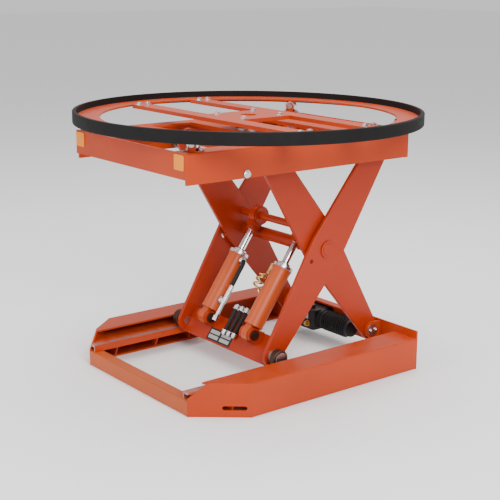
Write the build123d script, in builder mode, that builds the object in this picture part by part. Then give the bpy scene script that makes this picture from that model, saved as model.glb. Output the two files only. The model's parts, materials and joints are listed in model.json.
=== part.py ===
# Pallet positioner: a floor frame, a pair of scissor legs lifted by two hydraulic
# cylinders, a table frame and a turntable ring that rolls on four support rollers.
# Millimetres, Z up. The ring's centre is at x = y = 0 and the floor is at z = 0.
# +X is the end with the fixed pivots, -X the end the rollers run at, -Y is the right side.
import os
from math import atan2, cos, hypot, radians, sin
from build123d import *

os.makedirs("parts", exist_ok=True)

# Scissor legs
leg_length = 760
rest_angle = 55
leg_thickness = 14
low_end_radius = 34
leg_middle_radius = 70
top_end_radius = 44
inner_leg_y = 206
outer_leg_y = 226
pin_x = 352
base_pin_z = 100
hinge_pin_radius = 15
centre_pin_radius = 20
pin_clearance = 0.05
hinge_bush_radius = 20
centre_bush_radius = 27

# Floor frame
base_front = -440
base_rear = 395
base_half_width = 400
front_half_width = 280
corner_start = -290
side_height = 105
side_flange = 100
sheet = 6
front_bar_width = 38
front_bar_height = 50
corner_front_height = 55
rear_plate_height = 130
rear_plate_gap = 42
track_inner_y = 252
track_rear = 10
roller_radius = 28
roller_inner_y = 254
roller_width = 24
slot_length = 74
slot_width = 13
anchor_radius = 7
anchor_front_x = -250
anchor_rear_x = 340
anchor_y = 350

# Power unit
tank_bottom = 46
tank_height = 70
tank_depth = 92
tank_length = 150
tank_right = 5
motor_length = 150
motor_radius = 32

# Table frame
table_front = -455
table_rear = 420
table_half_width = 300
table_rise = 57
skirt_drop = 33
front_plate_drop = 17
skirt_sheet = 8
table_flange_y = 240
strap_thickness = 12
strap_width = 80
centre_strap_width = 110
strap_x = 250
upper_track_rear = 0
bracket_radius = 28
side_gap = 2
thick_lug = 12
thin_lug = 10
pin_head = 5
pin_head_radius = 21
marker_drop = 27
marker_inset = 28

# Turntable ring
ring_radius = 555
rim_thickness = 12
rim_lift = 28
rim_height = 38
flange_inner_radius = 470
flange_lift = 40
flange_thickness = 6
bar_offset = 125
bar_width = 60
bar_lift = 34
hub_radius = 45
hub_lift = 10
hub_plate_half_y = 90
kingpin_radius = 25
kingpin_lift = 32

# Support rollers under the ring
support_radius = 18
support_width = 24
support_path_radius = 490
support_angle = 34
support_axle_radius = 6

# Hydraulic cylinders
cylinder_y = 117
barrel_pivot_reach = 345
barrel_pivot_angle = 231
rod_pivot_reach = 50
rod_pivot_angle = 86
barrel_radius = 31
barrel_bore = 25
barrel_start = 34
barrel_end = 234
gland_end = 252
rod_radius = 12.5
eye_radius = 33
eye_bore = 24.5
eye_width = 28
lug_thickness = 10
barrel_pin_radius = 12
tube_x_offset = 22.5
tube_z_offset = -14.8
tube_radius = 21

# Places that follow from the sizes above
leg_cos = cos(radians(rest_angle))
leg_sin = sin(radians(rest_angle))
half_leg = leg_length / 2
centre_x = pin_x - half_leg * leg_cos
centre_z = base_pin_z + half_leg * leg_sin
roller_x = pin_x - leg_length * leg_cos
top_pin_z = base_pin_z + leg_length * leg_sin
table_pin_height = round(top_pin_z)
table_top = table_pin_height + table_rise
skirt_bottom = table_pin_height - skirt_drop
front_plate_bottom = table_pin_height - front_plate_drop
rim_bottom = table_top + rim_lift
rim_top = rim_bottom + rim_height
flange_bottom = table_top + flange_lift
flange_top = flange_bottom + flange_thickness
bar_bottom = table_top + bar_lift
hub_bottom = table_top + hub_lift
kingpin_top = table_top + kingpin_lift
lower_track_top = base_pin_z - roller_radius - 0.3
upper_track_bottom = top_pin_z + roller_radius + 0.3
support_axle_z = flange_bottom - 0.3 - support_radius
inner_leg_out = inner_leg_y + leg_thickness
outer_leg_out = outer_leg_y + leg_thickness
base_lug_inner = inner_leg_y - side_gap - thick_lug
base_lug_outer = inner_leg_out + side_gap
table_lug_inner = outer_leg_y - side_gap - thin_lug
table_lug_outer = outer_leg_out + side_gap
pivot_dx = barrel_pivot_reach * cos(radians(barrel_pivot_angle))
pivot_dz = barrel_pivot_reach * sin(radians(barrel_pivot_angle))
eye_dx = rod_pivot_reach * cos(radians(rod_pivot_angle))
eye_dz = rod_pivot_reach * sin(radians(rod_pivot_angle))
cylinder_length = hypot(eye_dx - pivot_dx, eye_dz - pivot_dz)
cylinder_tilt = atan2(eye_dz - pivot_dz, eye_dx - pivot_dx)
SIDES = ((-1, "right"), (1, "left"))


def write(piece, name):
    # label one finished piece and save it
    piece.part.label = name
    export_step(piece.part, "parts/" + name + ".step")


def high(side, inner, outer):
    # the larger y of a slab between two distances from the middle plane
    return outer if side > 0 else -inner


def side_view(side, inner, outer):
    # a drawing plane seen from the right side, to be extruded towards the right
    return Plane.XZ.offset(-high(side, inner, outer))


def leg_view(direction, y_high):
    # the same, centred on the scissor pivot with its x along a leg, upwards
    return Plane(origin=(centre_x, y_high, centre_z),
                 x_dir=(direction * leg_cos, 0, leg_sin), z_dir=(0, -1, 0))


def along_leg(direction, dx, dz):
    # an offset from the scissor pivot, told in the plane of a leg
    return (direction * leg_cos * dx + leg_sin * dz, direction * leg_cos * dz - leg_sin * dx)


def cylinder_view(y_high):
    # side view centred on the barrel pivot with its x along the cylinder
    return Plane(origin=(centre_x + pivot_dx, y_high, centre_z + pivot_dz),
                 x_dir=(cos(cylinder_tilt), 0, sin(cylinder_tilt)), z_dir=(0, -1, 0))


def cylinder_section(side, distance):
    # a plane square to the cylinder, a distance up from the barrel pivot
    return Plane(origin=(centre_x + pivot_dx + distance * cos(cylinder_tilt), side * cylinder_y,
                         centre_z + pivot_dz + distance * sin(cylinder_tilt)),
                 x_dir=(0, 1, 0), z_dir=(cos(cylinder_tilt), 0, sin(cylinder_tilt)))


# FLOOR FRAME
# The side members are C sections that open inwards. Their front end is cut along the
# slanted corner, so the flange outline follows the inner face of the corner plate.
slant_x = corner_start - base_front
slant_y = base_half_width - front_half_width
slant_length = hypot(slant_x, slant_y)
inset_x = sheet * slant_y / slant_length
inset_y = sheet * slant_x / slant_length


def slant_y_at(x):
    # y of the corner plate's inner face at a given x
    return front_half_width - inset_y + (x - base_front - inset_x) * slant_y / slant_x


flange_edge = base_half_width - side_flange
flange_front = base_front + 40
track_front = base_front + 4
slant_front_x = base_front + inset_x + inset_y * slant_x / slant_y
for side, word in SIDES:
    with BuildPart() as base_side:
        for level in (0, side_height - sheet):
            with BuildSketch(Plane.XY.offset(level)):
                with BuildLine():
                    Polyline(
                        (base_rear - sheet, side * flange_edge),
                        (base_rear - sheet, side * base_half_width),
                        (corner_start, side * base_half_width),
                        (corner_start, side * slant_y_at(corner_start)),
                        (flange_front, side * slant_y_at(flange_front)),
                        (flange_front, side * flange_edge),
                        close=True,
                    )
                make_face()
                if level == 0:
                    for x in (anchor_front_x, anchor_rear_x):
                        with Locations((x, side * anchor_y)):
                            Circle(anchor_radius, mode=Mode.SUBTRACT)
            extrude(amount=sheet)
        with BuildSketch(side_view(side, base_half_width - sheet, base_half_width)):
            with Locations(((corner_start + base_rear - sheet) / 2, side_height / 2)):
                Rectangle(base_rear - sheet - corner_start, side_height)
        extrude(amount=sheet)
        outer_edges = base_side.edges().filter_by(Axis.X).group_by(Axis.Y)[0 if side < 0 else -1]
        fillet(outer_edges, 4)
    write(base_side, "base_side_" + word)

with BuildPart() as front_bar:
    with BuildSketch(Plane.XZ.offset(-front_half_width)):
        with Locations((base_front + front_bar_width / 2, front_bar_height / 2)):
            Rectangle(front_bar_width, front_bar_height)
    extrude(amount=2 * front_half_width)
    fillet(front_bar.edges().filter_by(Axis.Y), 4)
    with BuildSketch(Plane.XZ.offset(-front_half_width)):
        with Locations((base_front + front_bar_width / 2, front_bar_height / 2)):
            Rectangle(front_bar_width - 8, front_bar_height - 8)
    extrude(amount=2 * front_half_width, mode=Mode.SUBTRACT)
write(front_bar, "front_bar")

# The corner plates stand on the slanted line and rise from the bar's height to the
# side member's height; their ends are mitred by the plan outline, and each has a slot.
with BuildPart() as front_corners:
    with BuildSketch(Plane(origin=(base_front, front_half_width, 0),
                           x_dir=(slant_x, slant_y, 0), z_dir=(slant_y, -slant_x, 0))):
        with BuildLine():
            Polyline(
                (0, 0),
                (slant_length, 0),
                (slant_length, side_height),
                (64, side_height),
                (0, corner_front_height),
                close=True,
            )
        make_face()
    extrude(amount=sheet)
    with BuildSketch(Plane.XY):
        with BuildLine():
            Polyline(
                (base_front, front_half_width),
                (corner_start, base_half_width),
                (corner_start, slant_y_at(corner_start)),
                (slant_front_x, front_half_width),
                close=True,
            )
        make_face()
    extrude(amount=side_height, mode=Mode.INTERSECT)
    with BuildSketch(Plane(origin=(base_front, front_half_width, 0),
                           x_dir=(slant_x, slant_y, 0), z_dir=(slant_y, -slant_x, 0))):
        with Locations((slant_length - 52, 28)):
            SlotOverall(slot_length, slot_width)
    extrude(amount=sheet, mode=Mode.SUBTRACT)
    mirror(about=Plane.XZ)
write(front_corners, "front_corners")

# The rear plate is deep over the side members and raised between them; a short flange
# on its front stiffens it.
with BuildPart() as rear_plate:
    with BuildSketch(Plane.YZ.offset(base_rear - sheet)):
        with Locations((0, rear_plate_height / 2)):
            Rectangle(2 * base_half_width, rear_plate_height)
        with Locations((0, rear_plate_gap / 2)):
            Rectangle(2 * flange_edge - 20, rear_plate_gap, mode=Mode.SUBTRACT)
    extrude(amount=sheet)
    with BuildSketch(Plane.XY.offset(rear_plate_height - sheet)):
        with Locations((base_rear - sheet - 12, 0)):
            Rectangle(24, 360)
    extrude(amount=sheet)
write(rear_plate, "rear_plate")

# Roller tracks: a shelf with a turned down lip, on ribs that stand on the lower flange.
with BuildPart() as lower_tracks:
    with BuildSketch(Plane.XY.offset(lower_track_top - sheet)):
        with BuildLine():
            Polyline(
                (track_rear, track_inner_y),
                (track_rear, base_half_width - sheet),
                (corner_start + 2, base_half_width - sheet),
                (corner_start + 2, slant_y_at(corner_start + 2)),
                (track_front, slant_y_at(track_front)),
                (track_front, track_inner_y),
                close=True,
            )
        make_face()
    extrude(amount=sheet)
    with BuildSketch(side_view(1, track_inner_y, track_inner_y + sheet)):
        with Locations(((track_front + track_rear) / 2, (lower_track_top + front_bar_height) / 2)):
            Rectangle(track_rear - track_front, lower_track_top - front_bar_height)
    extrude(amount=sheet)
    for x in (-330, -170, -30):
        with BuildSketch(Plane.YZ.offset(x - sheet / 2)):
            with BuildLine():
                Polyline(
                    (flange_edge, sheet),
                    (slant_y_at(x) - 3 if x < corner_start else base_half_width - sheet, sheet),
                    (slant_y_at(x) - 3 if x < corner_start else base_half_width - sheet,
                     lower_track_top - sheet),
                    (flange_edge - 30, lower_track_top - sheet),
                    close=True,
                )
            make_face()
        extrude(amount=sheet)
    mirror(about=Plane.XZ)
write(lower_tracks, "lower_tracks")

with BuildPart() as base_hinge_brackets:
    for inner, thick in ((base_lug_inner, thick_lug), (base_lug_outer, thin_lug)):
        with BuildSketch(side_view(1, inner, inner + thick)):
            with BuildLine():
                CenterArc((pin_x, base_pin_z), bracket_radius, 0, 360)
                Line((base_rear - sheet, rear_plate_gap + 2), (base_rear - sheet, rear_plate_height - sheet))
            make_hull()
            with Locations((pin_x, base_pin_z)):
                Circle(hinge_pin_radius, mode=Mode.SUBTRACT)
        extrude(amount=thick)
    mirror(about=Plane.XZ)
write(base_hinge_brackets, "base_hinge_brackets")

with BuildPart() as base_hinge_pins:
    pin_end = base_lug_outer + thin_lug
    for inner, outer, radius in ((base_lug_inner, pin_end, hinge_pin_radius),
                                 (base_lug_inner - pin_head, base_lug_inner, pin_head_radius),
                                 (pin_end, pin_end + pin_head, pin_head_radius)):
        with BuildSketch(side_view(1, inner, outer)):
            with Locations((pin_x, base_pin_z)):
                Circle(radius)
        extrude(amount=outer - inner)
    mirror(about=Plane.XZ)
write(base_hinge_pins, "base_hinge_pins")

# The power unit hangs on the rear plate between the hinge brackets: an oil tank with the
# pump motor on its right side.
with BuildPart() as oil_tank:
    with BuildSketch(Plane.XY.offset(tank_bottom)):
        with Locations((base_rear - sheet - tank_depth / 2, tank_right + tank_length / 2)):
            Rectangle(tank_depth, tank_length)
    extrude(amount=tank_height)
    fillet(oil_tank.edges().filter_by(Axis.Z).group_by(Axis.X)[0], 12)
    with BuildSketch(Plane.XY.offset(tank_bottom + tank_height)):
        with Locations((base_rear - sheet - tank_depth + 26, tank_right + 40)):
            Circle(14)
    extrude(amount=12)
write(oil_tank, "oil_tank")

motor_x = base_rear - sheet - tank_depth / 2
motor_z = tank_bottom + tank_height / 2
with BuildPart() as pump_motor:
    for start, length, radius in ((0, 12, motor_radius + 3), (12, motor_length - 30, motor_radius),
                                  (motor_length - 18, 18, motor_radius - 3)):
        with BuildSketch(Plane(origin=(motor_x, tank_right - start, motor_z),
                               x_dir=(1, 0, 0), z_dir=(0, -1, 0))):
            Circle(radius)
        extrude(amount=length)
    fillet(pump_motor.edges().group_by(Axis.Y)[0], 4)
write(pump_motor, "pump_motor")

# SCISSOR LEGS
# Both pairs are kite shaped plates; the inner pair leans back, the outer pair leans forward.
lock_hole = (-62, 37)
lock_hole_radius = 7
for pair, direction, y_in in (("inner", -1, inner_leg_y), ("outer", 1, outer_leg_y)):
    holes = [((0, 0), centre_pin_radius if pair == "inner" else centre_bush_radius)]
    if pair == "inner":
        holes.append(((-half_leg, 0), hinge_bush_radius))
        holes.append(((half_leg, 0), hinge_pin_radius))
        holes.append((along_leg(direction, eye_dx, eye_dz), rod_radius))
    else:
        holes.append(((-half_leg, 0), hinge_pin_radius))
        holes.append(((half_leg, 0), hinge_bush_radius))
        holes.append((lock_hole, lock_hole_radius))
    for side, word in SIDES:
        y_high = high(side, y_in, y_in + leg_thickness)
        with BuildPart() as leg:
            with BuildSketch(leg_view(direction, y_high)):
                with BuildLine():
                    CenterArc((-half_leg, 0), low_end_radius, 0, 360)
                    CenterArc((0, 0), leg_middle_radius, 0, 360)
                    CenterArc((half_leg, 0), top_end_radius, 0, 360)
                make_hull()
            extrude(amount=leg_thickness)
            rims = leg.edges().group_by(Axis.Y)
            chamfer(rims[0] + rims[-1], 1.5)
            with BuildSketch(leg_view(direction, y_high)):
                for place, radius in holes:
                    with Locations(place):
                        Circle(radius)
            extrude(amount=leg_thickness, mode=Mode.SUBTRACT)
        write(leg, pair + "_leg_" + word)

with BuildPart() as inner_leg_tube:
    with BuildSketch(leg_view(-1, inner_leg_y)):
        with Locations(along_leg(-1, tube_x_offset, tube_z_offset)):
            Circle(tube_radius)
            Circle(tube_radius - 5, mode=Mode.SUBTRACT)
    extrude(amount=2 * inner_leg_y)
write(inner_leg_tube, "inner_leg_tube")

# The rod eyes hang on this shaft between pairs of collars.
collar_radius = 30
collar_gap = eye_width / 2 + 1
with BuildPart() as rod_shaft:
    with BuildSketch(leg_view(-1, inner_leg_out)):
        with Locations(along_leg(-1, eye_dx, eye_dz)):
            Circle(rod_radius)
    extrude(amount=2 * inner_leg_out)
    for middle in (-cylinder_y, cylinder_y):
        for y_high in (middle + collar_gap + 4, middle - collar_gap):
            with BuildSketch(leg_view(-1, y_high)):
                with Locations(along_leg(-1, eye_dx, eye_dz)):
                    Circle(collar_radius)
            extrude(amount=4)
write(rod_shaft, "rod_shaft")

shaft_steps = ((roller_inner_y + roller_width + 1, roller_inner_y + roller_width + 5, 22),)
with BuildPart() as upper_roller_shaft:
    with BuildSketch(leg_view(-1, roller_inner_y + roller_width + 5)):
        with Locations((half_leg, 0)):
            Circle(hinge_pin_radius)
    extrude(amount=2 * (roller_inner_y + roller_width + 5))
    for side in (-1, 1):
        for inner, outer, radius in shaft_steps + ((244, roller_inner_y - 1, 22),):
            with BuildSketch(leg_view(-1, high(side, inner, outer))):
                with Locations((half_leg, 0)):
                    Circle(radius)
            extrude(amount=outer - inner)
write(upper_roller_shaft, "upper_roller_shaft")

with BuildPart() as lower_roller_stubs:
    for side in (-1, 1):
        stub_end = roller_inner_y + roller_width + 5
        for inner, outer, radius in shaft_steps + ((outer_leg_out, roller_inner_y - 1, 22),
                                                   (outer_leg_y, stub_end, hinge_pin_radius)):
            with BuildSketch(leg_view(1, high(side, inner, outer))):
                with Locations((-half_leg, 0)):
                    Circle(radius)
            extrude(amount=outer - inner)
write(lower_roller_stubs, "lower_roller_stubs")

with BuildPart() as centre_pins:
    for side in (-1, 1):
        with BuildSketch(leg_view(1, high(side, inner_leg_y, outer_leg_out + 6))):
            Circle(centre_pin_radius)
        extrude(amount=outer_leg_out + 6 - inner_leg_y)
    chamfer(centre_pins.edges().group_by(Axis.Y)[0] + centre_pins.edges().group_by(Axis.Y)[-1], 1.5)
write(centre_pins, "centre_pins")

with BuildPart() as centre_pin_rings:
    for side in (-1, 1):
        with BuildSketch(leg_view(1, high(side, outer_leg_out + 1, outer_leg_out + 4))):
            Circle(28)
            Circle(centre_pin_radius, mode=Mode.SUBTRACT)
        extrude(amount=3)
write(centre_pin_rings, "centre_pin_rings")

with BuildPart() as inner_leg_bushes:
    for side in (-1, 1):
        with BuildSketch(leg_view(-1, high(side, inner_leg_y, inner_leg_out))):
            with Locations((-half_leg, 0)):
                Circle(hinge_bush_radius)
                Circle(hinge_pin_radius + pin_clearance, mode=Mode.SUBTRACT)
        extrude(amount=leg_thickness)
write(inner_leg_bushes, "inner_leg_bushes")

with BuildPart() as outer_leg_bushes:
    for side in (-1, 1):
        with BuildSketch(leg_view(1, high(side, outer_leg_y, outer_leg_out))):
            with Locations((half_leg, 0)):
                Circle(hinge_bush_radius)
                Circle(hinge_pin_radius + pin_clearance, mode=Mode.SUBTRACT)
            Circle(centre_bush_radius)
            Circle(centre_pin_radius + pin_clearance, mode=Mode.SUBTRACT)
        extrude(amount=leg_thickness)
write(outer_leg_bushes, "outer_leg_bushes")

with BuildPart() as lock_pin:
    for inner, outer, radius in ((outer_leg_y, outer_leg_out, lock_hole_radius),
                                 (inner_leg_out + side_gap, outer_leg_y, 10),
                                 (outer_leg_out, outer_leg_out + 5, 10)):
        with BuildSketch(leg_view(1, outer)):
            with Locations(lock_hole):
                Circle(radius)
        extrude(amount=outer - inner)
write(lock_pin, "lock_pin")

# The cross plate ties the low ends of the outer legs together; the lugs stand on it.
plate_low = -half_leg - 36
pivot_u, pivot_v = along_leg(1, pivot_dx, pivot_dz)
plate_high = pivot_u + 22
plate_top = pivot_v - barrel_radius
with BuildPart() as cross_plate:
    with BuildSketch(leg_view(1, outer_leg_y)):
        with Locations(((plate_low + plate_high) / 2, plate_top - 5)):
            Rectangle(plate_high - plate_low, 10)
    extrude(amount=2 * outer_leg_y)
write(cross_plate, "cross_plate")

with BuildPart() as barrel_lugs:
    for middle in (-cylinder_y, cylinder_y):
        for y_high in (middle + eye_width / 2 + 2 + lug_thickness, middle - eye_width / 2 - 2):
            with BuildSketch(leg_view(1, y_high)):
                with Locations((pivot_u, pivot_v)):
                    Circle(22)
                with Locations((pivot_u, (pivot_v + plate_top) / 2)):
                    Rectangle(44, pivot_v - plate_top)
                with Locations((pivot_u, pivot_v)):
                    Circle(barrel_pin_radius, mode=Mode.SUBTRACT)
            extrude(amount=lug_thickness)
write(barrel_lugs, "barrel_lugs")

lug_outer = eye_width / 2 + 2 + lug_thickness
with BuildPart() as barrel_pins:
    for middle in (-cylinder_y, cylinder_y):
        for low, top, radius in ((-lug_outer, lug_outer, barrel_pin_radius),
                                 (lug_outer, lug_outer + 4, 17), (-lug_outer - 4, -lug_outer, 17)):
            with BuildSketch(leg_view(1, middle + top)):
                with Locations((pivot_u, pivot_v)):
                    Circle(radius)
            extrude(amount=top - low)
write(barrel_pins, "barrel_pins")

# Wheels on the leg ends
for level, direction, place in (("lower", 1, -half_leg), ("upper", -1, half_leg)):
    for side, word in SIDES:
        with BuildPart() as roller:
            with BuildSketch(leg_view(direction, high(side, roller_inner_y, roller_inner_y + roller_width))):
                with Locations((place, 0)):
                    Circle(roller_radius)
            extrude(amount=roller_width)
            chamfer(roller.edges(), 2)
            with BuildSketch(leg_view(direction, high(side, roller_inner_y, roller_inner_y + roller_width))):
                with Locations((place, 0)):
                    Circle(hinge_pin_radius + pin_clearance)
            extrude(amount=roller_width, mode=Mode.SUBTRACT)
        write(roller, level + "_roller_" + word)

# TABLE FRAME
for side, word in SIDES:
    with BuildPart() as table_side:
        with BuildSketch(Plane.YZ.offset(table_front + sheet)):
            with BuildLine():
                Polyline(
                    (side * table_half_width, skirt_bottom),
                    (side * table_half_width, table_top),
                    (side * table_flange_y, table_top),
                    (side * table_flange_y, table_top - skirt_sheet),
                    (side * (table_half_width - skirt_sheet), table_top - skirt_sheet),
                    (side * (table_half_width - skirt_sheet), skirt_bottom),
                    close=True,
                )
            make_face()
        extrude(amount=table_rear - table_front - 2 * sheet)
        top_edge = table_side.edges().filter_by(Axis.X).sort_by(Axis.Z)[-2:].sort_by(Axis.Y)
        fillet(top_edge[0 if side < 0 else -1], 5)
    write(table_side, "table_side_" + word)

with BuildPart() as table_ends:
    for x, bottom in ((table_front, front_plate_bottom), (table_rear - sheet, skirt_bottom)):
        with BuildSketch(Plane.YZ.offset(x)):
            with Locations((0, (bottom + table_top) / 2)):
                Rectangle(2 * table_half_width, table_top - bottom)
        extrude(amount=sheet)
write(table_ends, "table_ends")

with BuildPart() as table_straps:
    for x, width in ((-strap_x, strap_width), (0, centre_strap_width), (strap_x, strap_width)):
        with BuildSketch(Plane.XY.offset(table_top - strap_thickness)):
            with Locations((x, 0)):
                Rectangle(width, 2 * table_flange_y)
        extrude(amount=strap_thickness)
write(table_straps, "table_straps")

with BuildPart() as upper_tracks:
    with BuildSketch(Plane.YZ.offset(table_front + 10)):
        with BuildLine():
            Polyline(
                (250, upper_track_bottom),
                (table_half_width - skirt_sheet, upper_track_bottom),
                (table_half_width - skirt_sheet, upper_track_bottom + 8),
                (256, upper_track_bottom + 8),
                (256, table_top - skirt_sheet),
                (250, table_top - skirt_sheet),
                close=True,
            )
        make_face()
    extrude(amount=upper_track_rear - table_front - 10)
    mirror(about=Plane.XZ)
write(upper_tracks, "upper_tracks")

# Each table hinge has an inner lug, an outer lug and a pad that joins the table flange.
with BuildPart() as table_hinge_brackets:
    for inner in (table_lug_inner, table_lug_outer):
        with BuildSketch(side_view(1, inner, inner + thin_lug)):
            with Locations((pin_x, top_pin_z)):
                Circle(bracket_radius)
            with Locations((pin_x, (top_pin_z + table_top - skirt_sheet) / 2)):
                Rectangle(2 * bracket_radius, table_top - skirt_sheet - top_pin_z)
            with Locations((pin_x, top_pin_z)):
                Circle(hinge_pin_radius, mode=Mode.SUBTRACT)
        extrude(amount=thin_lug)
    with BuildSketch(Plane.XY.offset(table_top - skirt_sheet)):
        with Locations(((pin_x - 34 + table_rear - sheet) / 2, (table_lug_inner + table_flange_y) / 2)):
            Rectangle(table_rear - sheet - pin_x + 34, table_flange_y - table_lug_inner)
    extrude(amount=skirt_sheet)
    mirror(about=Plane.XZ)
write(table_hinge_brackets, "table_hinge_brackets")

with BuildPart() as table_hinge_pins:
    pin_end = table_lug_outer + thin_lug
    for inner, outer, radius in ((table_lug_inner, pin_end, hinge_pin_radius),
                                 (table_lug_inner - pin_head, table_lug_inner, pin_head_radius),
                                 (pin_end, pin_end + pin_head, pin_head_radius)):
        with BuildSketch(side_view(1, inner, outer)):
            with Locations((pin_x, top_pin_z)):
                Circle(radius)
        extrude(amount=outer - inner)
    mirror(about=Plane.XZ)
write(table_hinge_pins, "table_hinge_pins")

with BuildPart() as kingpin:
    for low, top, radius in ((table_top, table_top + 6, 45), (table_top + 6, kingpin_top, kingpin_radius)):
        with BuildSketch(Plane.XY.offset(low)):
            Circle(radius)
        extrude(amount=top - low)
    chamfer(kingpin.edges().group_by(Axis.Z)[-1], 2)
write(kingpin, "kingpin")

with BuildPart() as corner_markers:
    for side in (-1, 1):
        with BuildSketch(Plane.YZ.offset(table_front - 2)):
            with Locations((side * (table_half_width - marker_inset), table_top - marker_drop)):
                RectangleRounded(46, 44, 4)
        extrude(amount=2)
write(corner_markers, "corner_markers")

# TURNTABLE RING AND ITS SUPPORT ROLLERS


def roller_view(angle, distance):
    # a plane square to a radius of the ring, seen from outside, at axle height
    a = radians(angle)
    return Plane(origin=(distance * cos(a), distance * sin(a), support_axle_z),
                 x_dir=(-sin(a), cos(a), 0), z_dir=(cos(a), sin(a), 0))


support_angles = (support_angle, 180 - support_angle, 180 + support_angle, -support_angle)
ear_inner = support_path_radius - support_width / 2 - 4
ear_outer = support_path_radius + support_width / 2 + 1
with BuildPart() as support_brackets:
    for angle in support_angles:
        with BuildSketch(roller_view(angle, ear_inner)):
            with Locations((0, table_top + 1.5 - support_axle_z)):
                Rectangle(50, 3)
        extrude(amount=ear_outer + 3 - ear_inner)
        for start in (ear_inner, ear_outer):
            with BuildSketch(roller_view(angle, start)):
                Circle(11)
                with Locations((0, (table_top + 3 - support_axle_z) / 2)):
                    Rectangle(22, support_axle_z - table_top - 3)
                Circle(support_axle_radius, mode=Mode.SUBTRACT)
            extrude(amount=3)
write(support_brackets, "support_brackets")

with BuildPart() as support_axles:
    for angle in support_angles:
        for start, stop, radius in ((ear_inner, ear_outer + 3, support_axle_radius),
                                    (ear_inner - 4, ear_inner, 9), (ear_outer + 3, ear_outer + 7, 9)):
            with BuildSketch(roller_view(angle, start)):
                Circle(radius)
            extrude(amount=stop - start)
write(support_axles, "support_axles")

for number, angle in enumerate(support_angles, start=1):
    with BuildPart() as support_roller:
        with BuildSketch(roller_view(angle, support_path_radius - support_width / 2)):
            Circle(support_radius)
        extrude(amount=support_width)
        chamfer(support_roller.edges(), 1.5)
        with BuildSketch(roller_view(angle, support_path_radius - support_width / 2)):
            Circle(support_axle_radius + pin_clearance)
        extrude(amount=support_width, mode=Mode.SUBTRACT)
    write(support_roller, "support_roller_" + str(number))

with BuildPart() as ring_rim:
    with BuildSketch(Plane.XY.offset(rim_bottom)):
        Circle(ring_radius)
    extrude(amount=rim_top - rim_bottom)
    fillet(ring_rim.edges(), 3)
    with BuildSketch(Plane.XY.offset(rim_bottom)):
        Circle(ring_radius - rim_thickness)
    extrude(amount=rim_top - rim_bottom, mode=Mode.SUBTRACT)
write(ring_rim, "ring_rim")

with BuildPart() as ring_flange:
    with BuildSketch(Plane.XY.offset(flange_bottom)):
        Circle(ring_radius - rim_thickness)
        Circle(flange_inner_radius, mode=Mode.SUBTRACT)
    extrude(amount=flange_top - flange_bottom)
write(ring_flange, "ring_flange")

with BuildPart() as ring_bars:
    with BuildSketch(Plane.XY.offset(bar_bottom)):
        with Locations((-bar_offset, 0), (bar_offset, 0)):
            Rectangle(bar_width, 2 * flange_inner_radius)
        Circle(flange_inner_radius, mode=Mode.INTERSECT)
    extrude(amount=flange_top - bar_bottom)
write(ring_bars, "ring_bars")

with BuildPart() as ring_hub:
    with BuildSketch(Plane.XY.offset(bar_bottom)):
        Rectangle(2 * bar_offset - bar_width, 2 * hub_plate_half_y)
    extrude(amount=flange_top - bar_bottom)
    with BuildSketch(Plane.XY.offset(hub_bottom)):
        Circle(hub_radius)
    extrude(amount=flange_top - hub_bottom)
    with BuildSketch(Plane.XY.offset(hub_bottom)):
        Circle(kingpin_radius + pin_clearance)
    extrude(amount=flange_top - hub_bottom, mode=Mode.SUBTRACT)
write(ring_hub, "ring_hub")

# HYDRAULIC CYLINDERS
# The barrel turns on a pin between the lugs, the rod slides through the gland and ends in
# an eye whose bore is wider than the shaft it hangs on.
port_radius = 10
port_reach = barrel_radius + 4
hose_out = barrel_radius + 16
ports = {"left": (218, 68), "right": (210,)}


def port_view(side, distance, reach):
    # a plane square to the port, a distance up the barrel, facing the middle of the lift
    return Plane(origin=(centre_x + pivot_dx + distance * cos(cylinder_tilt),
                         side * (cylinder_y - reach),
                         centre_z + pivot_dz + distance * sin(cylinder_tilt)),
                 x_dir=(cos(cylinder_tilt), 0, sin(cylinder_tilt)), z_dir=(0, -side, 0))


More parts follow.
